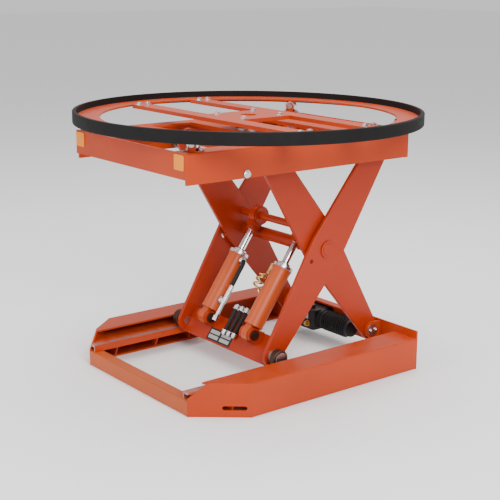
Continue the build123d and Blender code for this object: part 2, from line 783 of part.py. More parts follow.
for side, word in SIDES:
    eye_high = side * cylinder_y + eye_width / 2
    with BuildPart() as barrel:
        with BuildSketch(cylinder_view(eye_high)):
            Circle(24)
            with Locations((14, 0)):
                Rectangle(28, 40)
        extrude(amount=eye_width)
        with BuildSketch(cylinder_section(side, barrel_start - 8)):
            Circle(barrel_radius)
        extrude(amount=barrel_end - barrel_start + 8)
        for distance in ports[word]:
            with BuildSketch(port_view(side, distance, 0)):
                Circle(port_radius)
            extrude(amount=port_reach)
        with BuildSketch(cylinder_section(side, barrel_start)):
            Circle(barrel_bore)
        extrude(amount=barrel_end - barrel_start, mode=Mode.SUBTRACT)
        with BuildSketch(cylinder_view(eye_high)):
            Circle(barrel_pin_radius + pin_clearance)
        extrude(amount=eye_width, mode=Mode.SUBTRACT)
    write(barrel, "barrel_" + word)

    with BuildPart() as gland:
        for start, stop, radius in ((barrel_end, barrel_end + 11, barrel_radius + 3),
                                    (barrel_end + 11, gland_end, 22)):
            with BuildSketch(cylinder_section(side, start)):
                Circle(radius)
            extrude(amount=stop - start)
        chamfer(gland.edges().filter_by(GeomType.CIRCLE), 1)
        with BuildSketch(cylinder_section(side, barrel_end)):
            Circle(rod_radius + pin_clearance)
        extrude(amount=gland_end - barrel_end, mode=Mode.SUBTRACT)
    write(gland, "gland_" + word)

    with BuildPart() as rod:
        with BuildSketch(cylinder_section(side, 120)):
            Circle(rod_radius)
        extrude(amount=cylinder_length - 46 - 120)
        with BuildSketch(cylinder_section(side, 104)):
            Circle(barrel_bore - 0.3)
        extrude(amount=16)
    write(rod, "rod_" + word)

    with BuildPart() as rod_eye:
        with BuildSketch(cylinder_view(eye_high)):
            with Locations((cylinder_length, 0)):
                Circle(eye_radius)
            with Locations((cylinder_length - 33, 0)):
                Rectangle(26, 40)
        extrude(amount=eye_width)
        with BuildSketch(cylinder_section(side, cylinder_length - 58)):
            Circle(19)
        extrude(amount=12)
        with BuildSketch(cylinder_view(eye_high)):
            with Locations((cylinder_length, 0)):
                Circle(eye_bore)
        extrude(amount=eye_width, mode=Mode.SUBTRACT)
        with BuildSketch(cylinder_section(side, cylinder_length - 58)):
            Circle(rod_radius)
        extrude(amount=12, mode=Mode.SUBTRACT)
    write(rod_eye, "rod_eye_" + word)

# A hose leaves the left barrel's upper port and runs down beside it to a bright elbow;
# the right barrel's port carries an elbow alone.
hose_top = ports["left"][0]
elbow_top = 104
with BuildPart() as hose_left:
    with BuildLine(Plane(origin=(centre_x + pivot_dx, cylinder_y, centre_z + pivot_dz),
                         x_dir=(cos(cylinder_tilt), 0, sin(cylinder_tilt)),
                         z_dir=(-sin(cylinder_tilt), 0, cos(cylinder_tilt)))):
        FilletPolyline((hose_top, -port_reach), (hose_top, -hose_out), (elbow_top, -hose_out), radius=11)
    with BuildSketch(port_view(1, hose_top, port_reach)):
        Circle(7)
    sweep()
write(hose_left, "hose_left")

for side, word, port, stop in ((1, "left", ports["left"][1], elbow_top),
                               (-1, "right", ports["right"][0], ports["right"][0] + 30)):
    with BuildPart() as elbow:
        with BuildSketch(port_view(side, port, port_reach)):
            Circle(8)
        extrude(amount=hose_out - port_reach)
        with BuildSketch(Plane(origin=(centre_x + pivot_dx + (port - 8) * cos(cylinder_tilt),
                                       side * (cylinder_y - hose_out),
                                       centre_z + pivot_dz + (port - 8) * sin(cylinder_tilt)),
                               x_dir=(0, 1, 0), z_dir=(cos(cylinder_tilt), 0, sin(cylinder_tilt)))):
            Circle(9)
        extrude(amount=stop - port + 8)
    write(elbow, "elbow_" + word)
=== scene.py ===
"""Finishes and small pieces of the pallet positioner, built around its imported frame."""
import json
import math

import bmesh
import bpy
from mathutils import Matrix, Vector


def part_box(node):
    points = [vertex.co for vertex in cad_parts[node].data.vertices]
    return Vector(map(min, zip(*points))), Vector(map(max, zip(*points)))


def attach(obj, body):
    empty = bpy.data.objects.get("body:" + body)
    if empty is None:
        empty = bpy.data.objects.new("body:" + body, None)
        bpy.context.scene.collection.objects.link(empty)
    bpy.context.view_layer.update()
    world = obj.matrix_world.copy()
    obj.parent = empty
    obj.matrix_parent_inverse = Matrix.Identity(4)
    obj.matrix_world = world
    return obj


bl_info = {
    "name": "Pallet positioner",
    "version": (1, 0, 0),
    "blender": (4, 5, 0),
    "location": "View3D > Sidebar > Positioner",
    "description": "Paints the positioner's frame and adds its bolts, welds, pipes and stage",
    "category": "Object",
}

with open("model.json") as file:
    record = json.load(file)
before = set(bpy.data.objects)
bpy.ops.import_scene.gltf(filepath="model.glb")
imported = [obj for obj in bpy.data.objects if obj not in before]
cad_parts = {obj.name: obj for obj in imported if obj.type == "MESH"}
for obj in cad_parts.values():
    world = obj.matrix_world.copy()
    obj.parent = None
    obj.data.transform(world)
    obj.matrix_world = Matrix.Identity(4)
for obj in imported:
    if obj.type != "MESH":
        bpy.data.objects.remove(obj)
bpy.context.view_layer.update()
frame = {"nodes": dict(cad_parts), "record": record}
NODES = frame["nodes"]

# Leg geometry, read from the frame's joints
JOINTS = {joint["name"]: joint for joint in frame["record"]["behaviour"]["joints"]}
CENTRE = Vector(JOINTS["scissor"]["pos_m"])
BASE_PIN = Vector(JOINTS["lift"]["pos_m"])
TABLE_PIN = Vector(JOINTS["table_level"]["pos_m"])
BARREL_PIVOT = Vector(JOINTS["cylinder_right_pivot"]["pos_m"])
BARREL_AXIS = Vector(JOINTS["piston_right_slide"]["axis"])
OUTER_ALONG = (TABLE_PIN - CENTRE).normalized()
OUTER_ACROSS = Vector((-OUTER_ALONG.z, 0, OUTER_ALONG.x))


# Settings


class FinishSettings(bpy.types.PropertyGroup):
    """Colours and gloss of the paints and metals."""

    frame_paint: bpy.props.FloatVectorProperty(
        name="Frame paint", description="Orange of the floor frame and the table",
        subtype="COLOR", size=3, min=0, max=1, default=(0.46, 0.040, 0.0015))
    leg_paint: bpy.props.FloatVectorProperty(
        name="Leg paint", description="Orange of the scissor legs",
        subtype="COLOR", size=3, min=0, max=1, default=(0.39, 0.026, 0.0015))
    # Painted light: the front bar is the frame's own orange; this lighter, yellower copy stands in for the
    # light on its top and front faces.
    bar_paint_painted_light: bpy.props.FloatVectorProperty(
        name="Front bar paint", description="Frame orange lightened by painted light on the front bar",
        subtype="COLOR", size=3, min=0, max=1, default=(0.46, 0.072, 0.004))
    cylinder_paint: bpy.props.FloatVectorProperty(
        name="Cylinder paint", description="Lighter orange of the barrels",
        subtype="COLOR", size=3, min=0, max=1, default=(0.52, 0.072, 0.006))
    rim_black: bpy.props.FloatVectorProperty(
        name="Rim black", description="Dark band round the ring",
        subtype="COLOR", size=3, min=0, max=1, default=(0.006, 0.005, 0.005))
    marker_yellow: bpy.props.FloatVectorProperty(
        name="Marker yellow", description="Corner markers on the table's front plate",
        subtype="COLOR", size=3, min=0, max=1, default=(0.88, 0.26, 0.006))
    paint_roughness: bpy.props.FloatProperty(
        name="Paint roughness", description="Roughness of clean paint",
        subtype="FACTOR", min=0, max=1, default=0.38)
    track_wear: bpy.props.FloatProperty(
        name="Track wear", description="How far the wheels have worn the tracks bright",
        subtype="FACTOR", min=0, max=1, default=0.7)


class DetailSettings(bpy.types.PropertyGroup):
    """Sizes of the small pieces."""

    bolt_radius: bpy.props.FloatProperty(
        name="Bolt radius", description="Half the width across a bolt head's corners",
        unit="LENGTH", subtype="DISTANCE", min=0.003, max=0.02, default=0.0095)
    bolt_height: bpy.props.FloatProperty(
        name="Bolt height", description="Height of a bolt head",
        unit="LENGTH", subtype="DISTANCE", min=0.002, max=0.02, default=0.006)
    weld_radius: bpy.props.FloatProperty(
        name="Weld radius", description="Half the width of a weld bead",
        unit="LENGTH", subtype="DISTANCE", min=0.001, max=0.01, default=0.0032)
    pipe_radius: bpy.props.FloatProperty(
        name="Pipe radius", description="Radius of the feed pipes on the cross plate",
        unit="LENGTH", subtype="DISTANCE", min=0.003, max=0.012, default=0.0065)
    label_size: bpy.props.FloatVectorProperty(
        name="Label size", description="Width and height of the blank label plate",
        unit="LENGTH", subtype="XYZ", size=2, default=(0.124, 0.042))


class StageSettings(bpy.types.PropertyGroup):
    """Camera and light."""

    camera_place: bpy.props.FloatVectorProperty(
        name="Camera place", description="Where the camera stands",
        subtype="TRANSLATION", unit="LENGTH", size=3, default=(-2.1746, -2.7906, 1.2626))
    camera_yaw: bpy.props.FloatProperty(
        name="Camera yaw", description="Turn of the view from +X towards +Y",
        subtype="ANGLE", unit="ROTATION", default=math.radians(51.5))
    camera_pitch: bpy.props.FloatProperty(
        name="Camera pitch", description="How far the view looks down",
        subtype="ANGLE", unit="ROTATION", default=math.radians(13.22))
    camera_roll: bpy.props.FloatProperty(
        name="Camera roll", description="Turn of the picture",
        subtype="ANGLE", unit="ROTATION", default=math.radians(0.47))
    camera_lens: bpy.props.FloatProperty(
        name="Lens", description="Focal length on a 36 mm sensor, in mm", default=80.14)
    camera_shift: bpy.props.FloatVectorProperty(
        name="Shift", description="Sideways and upward shift, in frame widths",
        size=2, default=(-0.0174, -0.0294))
    key_power: bpy.props.FloatProperty(
        name="Key light", description="Power of the large light on the right", default=250.0)
    fill_power: bpy.props.FloatProperty(
        name="Fill light", description="Power of the light on the front left", default=80.0)
    sky: bpy.props.FloatProperty(
        name="Sky", description="Strength of the even light from all round", default=0.8)


SETTINGS = (
    ("positioner_finish", FinishSettings),
    ("positioner_detail", DetailSettings),
    ("positioner_stage", StageSettings),
)


def settings(name):
    """The scene's own copy of one group of settings."""
    return getattr(bpy.context.scene, "positioner_" + name)


# Shader groups


def shader_group(name, inputs, outputs):
    """An empty shader group with named sockets, and its two end nodes."""
    tree = bpy.data.node_groups.new(name, "ShaderNodeTree")
    for label, kind, default in inputs:
        socket = tree.interface.new_socket(label, in_out="INPUT", socket_type=kind)
        socket.default_value = default
    for label, kind in outputs:
        tree.interface.new_socket(label, in_out="OUTPUT", socket_type=kind)
    return tree, tree.nodes.new("NodeGroupInput"), tree.nodes.new("NodeGroupOutput")


def noise(tree, coordinates, scale, detail=3.0, roughness=0.55):
    """A noise texture on the given coordinates; gives its value socket."""
    node = tree.nodes.new("ShaderNodeTexNoise")
    node.inputs["Detail"].default_value = detail
    node.inputs["Roughness"].default_value = roughness
    if isinstance(scale, (int, float)):
        node.inputs["Scale"].default_value = scale
    else:
        tree.links.new(scale, node.inputs["Scale"])
    tree.links.new(coordinates, node.inputs["Vector"])
    return node.outputs["Fac"]


def spread(tree, value, low, high, to_low=0.0, to_high=1.0):
    """Maps a value from one range to another, clamped."""
    node = tree.nodes.new("ShaderNodeMapRange")
    ends = {"From Min": low, "From Max": high, "To Min": to_low, "To Max": to_high}
    for label, number in ends.items():
        node.inputs[label].default_value = number
    tree.links.new(value, node.inputs["Value"])
    return node.outputs["Result"]


def calculate(tree, operation, first, second):
    """One maths step on two sockets or numbers."""
    node = tree.nodes.new("ShaderNodeMath")
    node.operation = operation
    for socket, value in zip(node.inputs, (first, second)):
        if isinstance(value, (int, float)):
            socket.default_value = value
        else:
            tree.links.new(value, socket)
    return node.outputs["Value"]


def blend_colours(tree, factor, first, second):
    """Mixes two colours, each a socket or a colour."""
    node = tree.nodes.new("ShaderNodeMix")
    node.data_type = "RGBA"
    tree.links.new(factor, node.inputs["Factor"])
    for label, value in (("A", first), ("B", second)):
        socket = [s for s in node.inputs if s.name == label and s.type == "RGBA"][0]
        if hasattr(value, "is_output"):
            tree.links.new(value, socket)
        else:
            socket.default_value = (*value, 1.0)
    return [s for s in node.outputs if s.type == "RGBA"][0]


def build_paint_group():
    """Sprayed paint: slow changes of tone, dust where faces look up, fine orange peel."""
    tree, given, made = shader_group(
        "Sprayed paint",
        [("Paint", "NodeSocketColor", (0.7, 0.1, 0.02, 1)),
         ("Dust", "NodeSocketFloat", 0.12),
         ("Roughness", "NodeSocketFloat", 0.4)],
        [("Color", "NodeSocketColor"), ("Roughness", "NodeSocketFloat"), ("Height", "NodeSocketFloat")])
    place = tree.nodes.new("ShaderNodeTexCoord")
    tone = spread(tree, noise(tree, place.outputs["Object"], 3.2), 0.3, 0.7)
    streak = spread(tree, noise(tree, place.outputs["Object"], 21.0, 4.0), 0.35, 0.75)
    dark = tree.nodes.new("ShaderNodeHueSaturation")
    dark.inputs["Value"].default_value = 0.86
    tree.links.new(given.outputs["Paint"], dark.inputs["Color"])
    toned = blend_colours(tree, tone, dark.outputs["Color"], given.outputs["Paint"])
    facing = tree.nodes.new("ShaderNodeSeparateXYZ")
    tree.links.new(place.outputs["Normal"], facing.inputs["Vector"])
    upward = spread(tree, facing.outputs["Z"], 0.55, 1.0)
    settled = calculate(tree, "MULTIPLY", upward, streak)
    dust = calculate(tree, "MULTIPLY", settled, given.outputs["Dust"])
    dusty = blend_colours(tree, dust, toned, (0.62, 0.45, 0.33))
    tree.links.new(dusty, made.inputs["Color"])
    rough = calculate(tree, "ADD", given.outputs["Roughness"], calculate(tree, "MULTIPLY", streak, 0.10))
    tree.links.new(rough, made.inputs["Roughness"])
    tree.links.new(noise(tree, place.outputs["Object"], 420.0, 1.0), made.inputs["Height"])
    return tree


def build_metal_group():
    """Machined metal: fine turning marks and slow smudges."""
    tree, given, made = shader_group(
        "Machined metal",
        [("Metal", "NodeSocketColor", (0.6, 0.6, 0.6, 1)), ("Roughness", "NodeSocketFloat", 0.3)],
        [("Color", "NodeSocketColor"), ("Roughness", "NodeSocketFloat"), ("Height", "NodeSocketFloat")])
    place = tree.nodes.new("ShaderNodeTexCoord")
    smudge = spread(tree, noise(tree, place.outputs["Object"], 34.0), 0.3, 0.75)
    dull = tree.nodes.new("ShaderNodeHueSaturation")
    dull.inputs["Value"].default_value = 0.72
    tree.links.new(given.outputs["Metal"], dull.inputs["Color"])
    tree.links.new(blend_colours(tree, smudge, dull.outputs["Color"], given.outputs["Metal"]),
                   made.inputs["Color"])
    rough = calculate(tree, "ADD", given.outputs["Roughness"], calculate(tree, "MULTIPLY", smudge, 0.14))
    tree.links.new(rough, made.inputs["Roughness"])
    tree.links.new(noise(tree, place.outputs["Object"], 900.0, 1.0), made.inputs["Height"])
    return tree


GROUPS = {}


def new_material(name, group, colour_name, colour, bump, **constants):
    """A material whose colour, roughness and bump come from a shader group."""
    material = bpy.data.materials.new(name)
    material.use_nodes = True
    tree = material.node_tree
    shader = tree.nodes["Principled BSDF"]
    finish = tree.nodes.new("ShaderNodeGroup")
    finish.node_tree = GROUPS[group]
    finish.inputs[colour_name].default_value = (*colour, 1.0)
    for label in ("Roughness", "Dust"):
        if label in constants and label in finish.inputs:
            finish.inputs[label].default_value = constants[label]
    tree.links.new(finish.outputs["Color"], shader.inputs["Base Color"])
    tree.links.new(finish.outputs["Roughness"], shader.inputs["Roughness"])
    relief = tree.nodes.new("ShaderNodeBump")
    relief.inputs["Strength"].default_value = bump
    relief.inputs["Distance"].default_value = 0.0004
    tree.links.new(finish.outputs["Height"], relief.inputs["Height"])
    tree.links.new(relief.outputs["Normal"], shader.inputs["Normal"])
    for label in ("Metallic", "Coat Weight", "Coat Roughness", "Specular IOR Level"):
        if label in constants:
            shader.inputs[label].default_value = constants[label]
    material.diffuse_color = (*colour, 1.0)
    return material


def paint(name, colour, dust=0.05, roughness=None, coat=0.05, shine=0.28):
    """A sprayed paint."""
    rough = settings("finish").paint_roughness if roughness is None else roughness
    return new_material(name, "paint", "Paint", colour, 0.16, Dust=dust, Roughness=rough,
                        **{"Coat Weight": coat, "Coat Roughness": 0.2, "Specular IOR Level": shine})


def metal(name, colour, roughness=0.3):
    """A machined metal."""
    return new_material(name, "metal", "Metal", colour, 0.12, Roughness=roughness, Metallic=1.0)


def track_paint(name, colour):
    """Paint that the wheels have worn bright along the middle of the tracks."""
    material = paint(name, colour, dust=0.12)
    tree = material.node_tree
    shader = tree.nodes["Principled BSDF"]
    place = tree.nodes.new("ShaderNodeTexCoord")
    parts = tree.nodes.new("ShaderNodeSeparateXYZ")
    tree.links.new(place.outputs["Object"], parts.inputs["Vector"])
    low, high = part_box("lower_roller_left")
    middle = (low.y + high.y) / 2
    half = (high.y - low.y) / 2
    away = calculate(tree, "ABSOLUTE", parts.outputs["Y"], 0.0)
    away = calculate(tree, "ABSOLUTE", calculate(tree, "SUBTRACT", away, middle), 0.0)
    worn = spread(tree, away, half * 0.75, half * 1.1, 1.0, 0.0)
    patches = spread(tree, noise(tree, place.outputs["Object"], 30.0, 5.0), 0.3, 0.6)
    worn = calculate(tree, "MULTIPLY", worn, patches)
    worn = calculate(tree, "MULTIPLY", worn, settings("finish").track_wear)
    painted = shader.inputs["Base Color"].links[0].from_socket
    tree.links.new(blend_colours(tree, worn, painted, (0.42, 0.38, 0.36)), shader.inputs["Base Color"])
    tree.links.new(worn, shader.inputs["Metallic"])
    return material


def build_materials():
    """All groups and materials, by the name the operators use."""
    finish = settings("finish")
    GROUPS["paint"] = build_paint_group()
    GROUPS["metal"] = build_metal_group()
    return {
        "frame": paint("Frame orange", finish.frame_paint),
        # Painted light: a lighter, yellower copy of the frame orange for the lit front bar.
        "bar": paint("Bar orange painted light", finish.bar_paint_painted_light),
        "legs": paint("Leg orange", finish.leg_paint),
        "barrels": paint("Barrel orange", finish.cylinder_paint, dust=0.03, coat=0.15, shine=0.4),
        "weld": paint("Weld orange", finish.leg_paint, dust=0.05, roughness=0.5, coat=0.1),
        "track": track_paint("Track orange", finish.frame_paint),
        "rim": paint("Rim black", finish.rim_black, dust=0.02, roughness=0.65, coat=0.0, shine=0.2),
        # Painted shade: the black tank and motor stand in for the deep shade at the rear of the base,
        # between the legs.
        "pump": paint("Pump black painted shade", (0.012, 0.012, 0.014), dust=0.06, roughness=0.45, coat=0.1),
        "chrome": metal("Rod chrome", (0.92, 0.92, 0.94), 0.06),
        "steel": metal("Pin steel", (0.62, 0.61, 0.60), 0.28),
        "bright": metal("Bright zinc", (0.85, 0.85, 0.86), 0.2),
        "wheel": metal("Wheel steel", (0.105, 0.060, 0.045), 0.5),
        "brass": metal("Brass", (0.78, 0.50, 0.18), 0.26),
        "rubber": paint("Hose rubber", (0.012, 0.012, 0.012), dust=0.03, roughness=0.55, coat=0.0),
        "marker": paint("Marker yellow", finish.marker_yellow, dust=0.0, roughness=0.5, coat=0.1),
        "label": paint("Label black", (0.016, 0.016, 0.018), dust=0.0, roughness=0.35, coat=0.2),
        "panel": paint("Label grey", (0.42, 0.41, 0.39), dust=0.0, roughness=0.45, coat=0.1),
    }


FINISHES = {}


def coat_nodes(names, finish):
    """Gives CAD nodes a finish."""
    for name in names:
        mesh = NODES[name].data
        mesh.materials.clear()
        mesh.materials.append(FINISHES[finish])


# Geometry node trees


def geometry_group(name, inputs):
    """An empty geometry tree with a geometry input, named values and a geometry output."""
    tree = bpy.data.node_groups.new(name, "GeometryNodeTree")
    tree.interface.new_socket("Geometry", in_out="INPUT", socket_type="NodeSocketGeometry")
    for label, kind, default in inputs:
        socket = tree.interface.new_socket(label, in_out="INPUT", socket_type=kind)
        if default is not None:
            socket.default_value = default
    tree.interface.new_socket("Geometry", in_out="OUTPUT", socket_type="NodeSocketGeometry")
    return tree, tree.nodes.new("NodeGroupInput"), tree.nodes.new("NodeGroupOutput")


def finish_tree(tree, given, made, instances):
    """Realizes instances, gives them the material and sends them out."""
    real = tree.nodes.new("GeometryNodeRealizeInstances")
    tree.links.new(instances, real.inputs["Geometry"])
    coat = tree.nodes.new("GeometryNodeSetMaterial")
    tree.links.new(real.outputs["Geometry"], coat.inputs["Geometry"])
    tree.links.new(given.outputs["Finish"], coat.inputs["Material"])
    tree.links.new(coat.outputs["Geometry"], made.inputs["Geometry"])


def faced_instances(tree, given, shape):
    """Puts a shape on every point, its Z along the point's own facing."""
    facing = tree.nodes.new("GeometryNodeInputNamedAttribute")
    facing.data_type = "FLOAT_VECTOR"
    facing.inputs["Name"].default_value = "facing"
    turn = tree.nodes.new("FunctionNodeAlignRotationToVector")
    turn.axis = "Z"
    tree.links.new(facing.outputs["Attribute"], turn.inputs["Vector"])
    place = tree.nodes.new("GeometryNodeInstanceOnPoints")
    tree.links.new(given.outputs["Geometry"], place.inputs["Points"])
    tree.links.new(shape, place.inputs["Instance"])
    tree.links.new(turn.outputs["Rotation"], place.inputs["Rotation"])
    return place.outputs["Instances"]


def disc(tree, sides, radius, height, lift=0.0):
    """A short prism standing on its base; radius and height are sockets or numbers."""
    body = tree.nodes.new("GeometryNodeMeshCylinder")
    body.inputs["Vertices"].default_value = sides
    for label, value in (("Radius", radius), ("Depth", height)):
        if isinstance(value, (int, float)):
            body.inputs[label].default_value = value
        else:
            tree.links.new(value, body.inputs[label])
    half = tree.nodes.new("ShaderNodeMath")
    half.operation = "MULTIPLY_ADD"
    half.inputs[1].default_value = 0.5
    half.inputs[2].default_value = lift
    if isinstance(height, (int, float)):
        half.inputs[0].default_value = height
    else:
        tree.links.new(height, half.inputs[0])
    offset = tree.nodes.new("ShaderNodeCombineXYZ")
    tree.links.new(half.outputs["Value"], offset.inputs["Z"])
    move = tree.nodes.new("GeometryNodeTransform")
    tree.links.new(body.outputs["Mesh"], move.inputs["Geometry"])
    tree.links.new(offset.outputs["Vector"], move.inputs["Translation"])
    return move.outputs["Geometry"]


def bolt_tree():
    """A hexagon head with a washer and a stub of thread on every point."""
    tree, given, made = geometry_group("Bolt heads", [
        ("Radius", "NodeSocketFloat", 0.0095), ("Height", "NodeSocketFloat", 0.006),
        ("Finish", "NodeSocketMaterial", None)])
    wide = calculate(tree, "MULTIPLY", given.outputs["Radius"], 1.25)
    thin = calculate(tree, "MULTIPLY", given.outputs["Radius"], 0.55)
    stub = calculate(tree, "MULTIPLY", given.outputs["Height"], 0.35)
    join = tree.nodes.new("GeometryNodeJoinGeometry")
    for shape in (disc(tree, 20, wide, 0.0016), disc(tree, 6, given.outputs["Radius"],
                                                    given.outputs["Height"], 0.0016)):
        tree.links.new(shape, join.inputs["Geometry"])
    raised = tree.nodes.new("GeometryNodeTransform")
    tree.links.new(disc(tree, 14, thin, stub), raised.inputs["Geometry"])
    lift = tree.nodes.new("ShaderNodeCombineXYZ")
    tree.links.new(calculate(tree, "ADD", given.outputs["Height"], 0.0016), lift.inputs["Z"])
    tree.links.new(lift.outputs["Vector"], raised.inputs["Translation"])
    tree.links.new(raised.outputs["Geometry"], join.inputs["Geometry"])
    finish_tree(tree, given, made, faced_instances(tree, given, join.outputs["Geometry"]))
    return tree


def weld_tree():
    """Overlapping ripples of weld along every edge of the mesh it is given."""
    tree, given, made = geometry_group("Weld beads", [
        ("Radius", "NodeSocketFloat", 0.003), ("Finish", "NodeSocketMaterial", None)])
    route = tree.nodes.new("GeometryNodeMeshToCurve")
    tree.links.new(given.outputs["Geometry"], route.inputs["Mesh"])
    step = calculate(tree, "MULTIPLY", given.outputs["Radius"], 0.9)
    spaced = tree.nodes.new("GeometryNodeResampleCurve")
    spaced.mode = "LENGTH"
    tree.links.new(route.outputs["Curve"], spaced.inputs["Curve"])
    tree.links.new(step, spaced.inputs["Length"])
    ripple = tree.nodes.new("GeometryNodeMeshIcoSphere")
    ripple.inputs["Subdivisions"].default_value = 1
    tree.links.new(given.outputs["Radius"], ripple.inputs["Radius"])
    turn = tree.nodes.new("FunctionNodeRandomValue")
    turn.data_type = "FLOAT_VECTOR"
    turn.inputs["Max"].default_value = (6.28, 6.28, 6.28)
    turn.inputs["Seed"].default_value = 4
    size = tree.nodes.new("FunctionNodeRandomValue")
    size.data_type = "FLOAT"
    size.inputs[2].default_value = 0.85
    size.inputs[3].default_value = 1.1
    size.inputs["Seed"].default_value = 9
    place = tree.nodes.new("GeometryNodeInstanceOnPoints")
    tree.links.new(spaced.outputs["Curve"], place.inputs["Points"])
    tree.links.new(ripple.outputs["Mesh"], place.inputs["Instance"])
    tree.links.new(turn.outputs[0], place.inputs["Rotation"])
    tree.links.new(size.outputs[1], place.inputs["Scale"])
    finish_tree(tree, given, made, place.outputs["Instances"])
    return tree


def pipe_tree():
    """A round bar on every point."""
    tree, given, made = geometry_group("Feed pipes", [
        ("Radius", "NodeSocketFloat", 0.0065), ("Length", "NodeSocketFloat", 0.15),
        ("Finish", "NodeSocketMaterial", None)])
    finish_tree(tree, given, made, faced_instances(
        tree, given, disc(tree, 20, given.outputs["Radius"], given.outputs["Length"])))
    return tree


def tube_tree():
    """A round closed-ended tube along every chain of edges it is given."""
    tree, given, made = geometry_group("Bent tubes", [
        ("Radius", "NodeSocketFloat", 0.0035), ("Finish", "NodeSocketMaterial", None)])
    route = tree.nodes.new("GeometryNodeMeshToCurve")
    tree.links.new(given.outputs["Geometry"], route.inputs["Mesh"])
    section = tree.nodes.new("GeometryNodeCurvePrimitiveCircle")
    section.inputs["Resolution"].default_value = 12
    tree.links.new(given.outputs["Radius"], section.inputs["Radius"])
    wall = tree.nodes.new("GeometryNodeCurveToMesh")
    wall.inputs["Fill Caps"].default_value = True
    tree.links.new(route.outputs["Curve"], wall.inputs["Curve"])
    tree.links.new(section.outputs["Curve"], wall.inputs["Profile Curve"])
    finish_tree(tree, given, made, wall.outputs["Mesh"])
    return tree


TREES = {}


def points_mesh(name, places, edges=()):
    """A mesh of bare points (place, facing) or, with edges, of lines."""
    mesh = bpy.data.meshes.new(name)
    mesh.from_pydata([place for place, direction in places], edges, [])
    facing = mesh.attributes.new("facing", "FLOAT_VECTOR", "POINT")
    for item, (place, direction) in zip(facing.data, places):
        item.vector = direction
    return mesh


def grow(name, mesh, tree, body, slot, finish, **values):
    """Runs a geometry tree on a mesh, keeps the result as a plain mesh and rides it."""
    seed = bpy.data.objects.new(name + "_seed", mesh)
    bpy.context.scene.collection.objects.link(seed)
    modifier = seed.modifiers.new("grow", "NODES")
    modifier.node_group = TREES[tree]
    values["Finish"] = FINISHES[finish]
    for item in TREES[tree].interface.items_tree:
        if item.in_out == "INPUT" and item.name in values:
            modifier[item.identifier] = values[item.name]
    graph = bpy.context.evaluated_depsgraph_get()
    graph.update()
    result = bpy.data.meshes.new_from_object(seed.evaluated_get(graph))
    seed.modifiers.clear()
    bpy.data.objects.remove(seed)
    if not result.polygons:
        raise RuntimeError(name + " came out empty")
    return add_piece(name, result, body, None)


def add_piece(name, mesh, body, finish):
    """Links a finished mesh as a piece of the object."""
    piece = bpy.data.objects.new(name, mesh)
    bpy.context.scene.collection.objects.link(piece)
    if finish:
        mesh.materials.clear()
        mesh.materials.append(FINISHES[finish])
    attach(piece, body)
    return piece


def turned(profile, axis_point, axis, sides=40):
    """A solid of revolution: (distance, radius) pairs turned round an axis."""
    axis = Vector(axis).normalized()
    side = axis.orthogonal().normalized()
    other = axis.cross(side)
    points, faces = [], []
    for distance, radius in profile:
        for k in range(sides):
            a = 2 * math.pi * k / sides
            points.append(Vector(axis_point) + axis * distance
                          + (side * math.cos(a) + other * math.sin(a)) * radius)
    for ring in range(len(profile) - 1):
        for k in range(sides):
            low, high = ring * sides, (ring + 1) * sides
            n = (k + 1) % sides
            faces.append((low + k, low + n, high + n, high + k))
    faces.append(tuple(reversed(range(sides))))
    last = (len(profile) - 1) * sides
    faces.append(tuple(range(last, last + sides)))
    mesh = bpy.data.meshes.new("turned")
    mesh.from_pydata(points, [], faces)
    mesh.validate()
    return mesh


def joined(meshes, name):
    """Several meshes as one."""
    whole = bmesh.new()
    for mesh in meshes:
        whole.from_mesh(mesh)
    mesh = bpy.data.meshes.new(name)
    whole.to_mesh(mesh)
    whole.free()
    return mesh


def block(corner, edge_x, edge_y, edge_z):
    """A box from one corner and its three edges."""
    corner, x, y, z = map(Vector, (corner, edge_x, edge_y, edge_z))
    points = [corner + x * i + y * j + z * k for k in (0, 1) for j in (0, 1) for i in (0, 1)]
    faces = [(0, 2, 3, 1), (4, 5, 7, 6), (0, 1, 5, 4), (2, 6, 7, 3), (0, 4, 6, 2), (1, 3, 7, 5)]
    if x.cross(y).dot(z) < 0:
        faces = [tuple(reversed(face)) for face in faces]
    mesh = bpy.data.meshes.new("block")
    mesh.from_pydata(points, [], faces)
    return mesh


# Operators


class POSITIONER_OT_materials(bpy.types.Operator):
    """Build every paint, metal and geometry tree."""
    bl_idname = "positioner.materials"
    bl_label = "Build finishes"

    def execute(self, context):
        FINISHES.update(build_materials())
        TREES.update(bolts=bolt_tree(), welds=weld_tree(), pipes=pipe_tree(), tubes=tube_tree())
        return {"FINISHED"}


class POSITIONER_OT_floor_frame(bpy.types.Operator):
    """Paint the floor frame, its tracks and the power unit, whose black stands in as painted shade."""
    bl_idname = "positioner.floor_frame"
    bl_label = "Finish floor frame"

    def execute(self, context):
        coat_nodes(("base_side_right", "base_side_left", "front_corners", "rear_plate",
                    "base_hinge_brackets"), "frame")
        # Painted light: the front bar gets the lighter, yellower copy of the frame orange.
        coat_nodes(("front_bar",), "bar")
        coat_nodes(("lower_tracks",), "track")
        coat_nodes(("base_hinge_pins",), "steel")
        # Painted shade: the tank and motor are painted black to stand in for the deep shade there.
        coat_nodes(("oil_tank", "pump_motor"), "pump")
        return {"FINISHED"}


class POSITIONER_OT_legs(bpy.types.Operator):
    """Paint the scissor legs and finish their shafts, pins and wheels."""
    bl_idname = "positioner.legs"
    bl_label = "Finish legs"

    def execute(self, context):
        coat_nodes(("inner_leg_right", "inner_leg_left", "inner_leg_tube", "outer_leg_right",
                    "outer_leg_left", "cross_plate", "barrel_lugs", "rod_shaft", "centre_pins",
                    "centre_pin_rings"), "legs")
        coat_nodes(("upper_roller_shaft", "lower_roller_stubs"), "steel")
        coat_nodes(("barrel_pins",), "wheel")
        coat_nodes(("lock_pin",), "bright")
        coat_nodes(("inner_leg_bushes", "outer_leg_bushes"), "brass")
        coat_nodes(("lower_roller_right", "lower_roller_left", "upper_roller_right",
                    "upper_roller_left"), "wheel")
        return {"FINISHED"}


